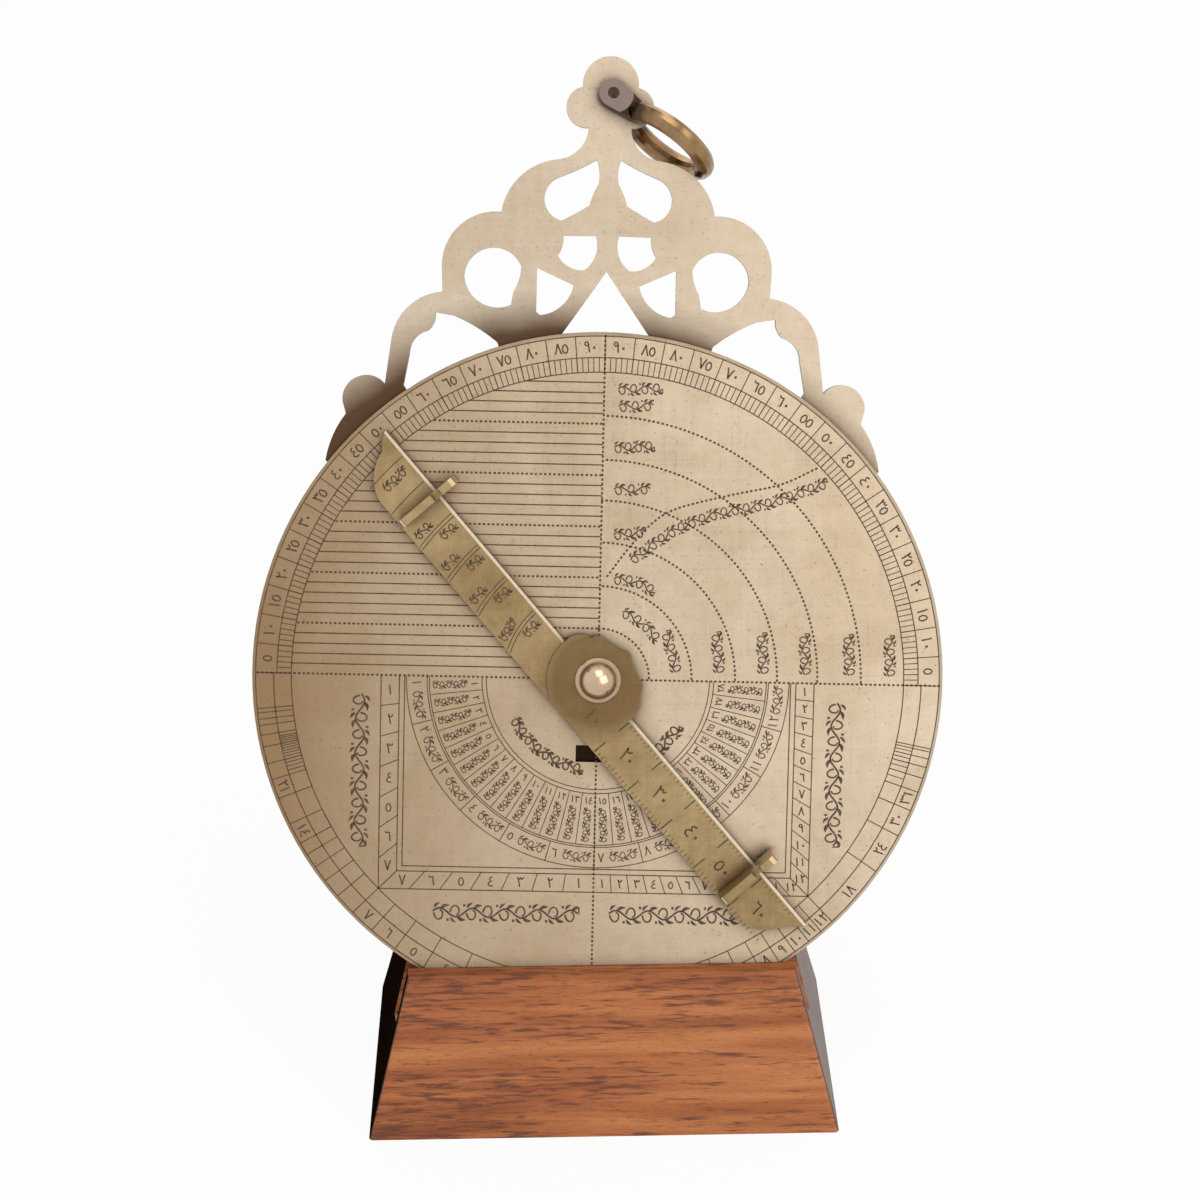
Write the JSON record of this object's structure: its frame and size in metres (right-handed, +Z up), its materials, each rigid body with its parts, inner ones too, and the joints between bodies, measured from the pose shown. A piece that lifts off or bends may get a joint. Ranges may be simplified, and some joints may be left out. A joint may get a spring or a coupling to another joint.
{
  "type": "astrolabe",
  "caption": "Round brass astrolabe leaning in a slotted wooden block, with a pierced throne, a hanging ring, a turning sighting rule and a turning star map.",
  "frame": {"origin": "centre of the wooden block's bottom face", "axes": "+Z up from the surface that the block stands on, -Y towards the viewer of the dorsum, +X to the viewer's right along the block"},
  "size_m": [0.13, 0.0763, 0.1911],
  "materials": {
    "block_wood": "oiled, satin",
    "dorsum_brass": "lacquered, antiqued",
    "throne_brass": "lacquered, antiqued",
    "limb_brass": "lacquered, antiqued",
    "screw_brass": "polished",
    "plate_brass": "lacquered",
    "rete_brass": "lacquered",
    "rule_brass": "lacquered, antiqued",
    "pin_brass": "polished",
    "ring_brass": "dark antique"
  },
  "bodies": {
    "block": {"wooden_block": "block_wood"},
    "astrolabe": {"dorsum_plate": "dorsum_brass", "throne_ring": "throne_brass", "limb_ring": "limb_brass", "limb_screws": "screw_brass", "latitude_plate_1": "plate_brass", "latitude_plate_2": "plate_brass", "latitude_plate_3": "plate_brass", "latitude_plate_4": "plate_brass", "head_washer": "pin_brass", "pivot_pin": "pin_brass", "horse_washer": "pin_brass"},
    "rule": {"alidade": "rule_brass", "upper_vane": "rule_brass", "lower_vane": "rule_brass"},
    "star_map": {"rete": "rete_brass", "rete_knob": "rete_brass"},
    "wedge": {"horse": "pin_brass"},
    "hanger": {"suspension_ring": "ring_brass", "ring_pin": "ring_brass"}
  },
  "joints": [
    {"name": "block_lift", "type": "slide", "parent": "block", "child": "astrolabe", "axis": [0, 0.342, 0.9397], "range_m": [0, 0.045]},
    {"name": "alidade_turn", "type": "hinge", "parent": "astrolabe", "child": "rule", "pos_m": [0, 0.00291, 0.083], "axis": [0, -0.9397, 0.342], "range_deg": [-11, 112]},
    {"name": "rete_turn", "type": "hinge", "parent": "astrolabe", "child": "star_map", "pos_m": [0, 0.00291, 0.083], "axis": [0, -0.9397, 0.342], "continuous": true},
    {"name": "horse_pull", "type": "slide", "parent": "astrolabe", "child": "wedge", "axis": [0.9994, -0.0122, -0.0336], "range_m": [0, 0.012]},
    {"name": "ring_swing", "type": "hinge", "parent": "astrolabe", "child": "hanger", "pos_m": [0.00387, 0.04303, 0.18357], "axis": [0, -0.9397, 0.342], "range_deg": [0, 250]}
  ]
}
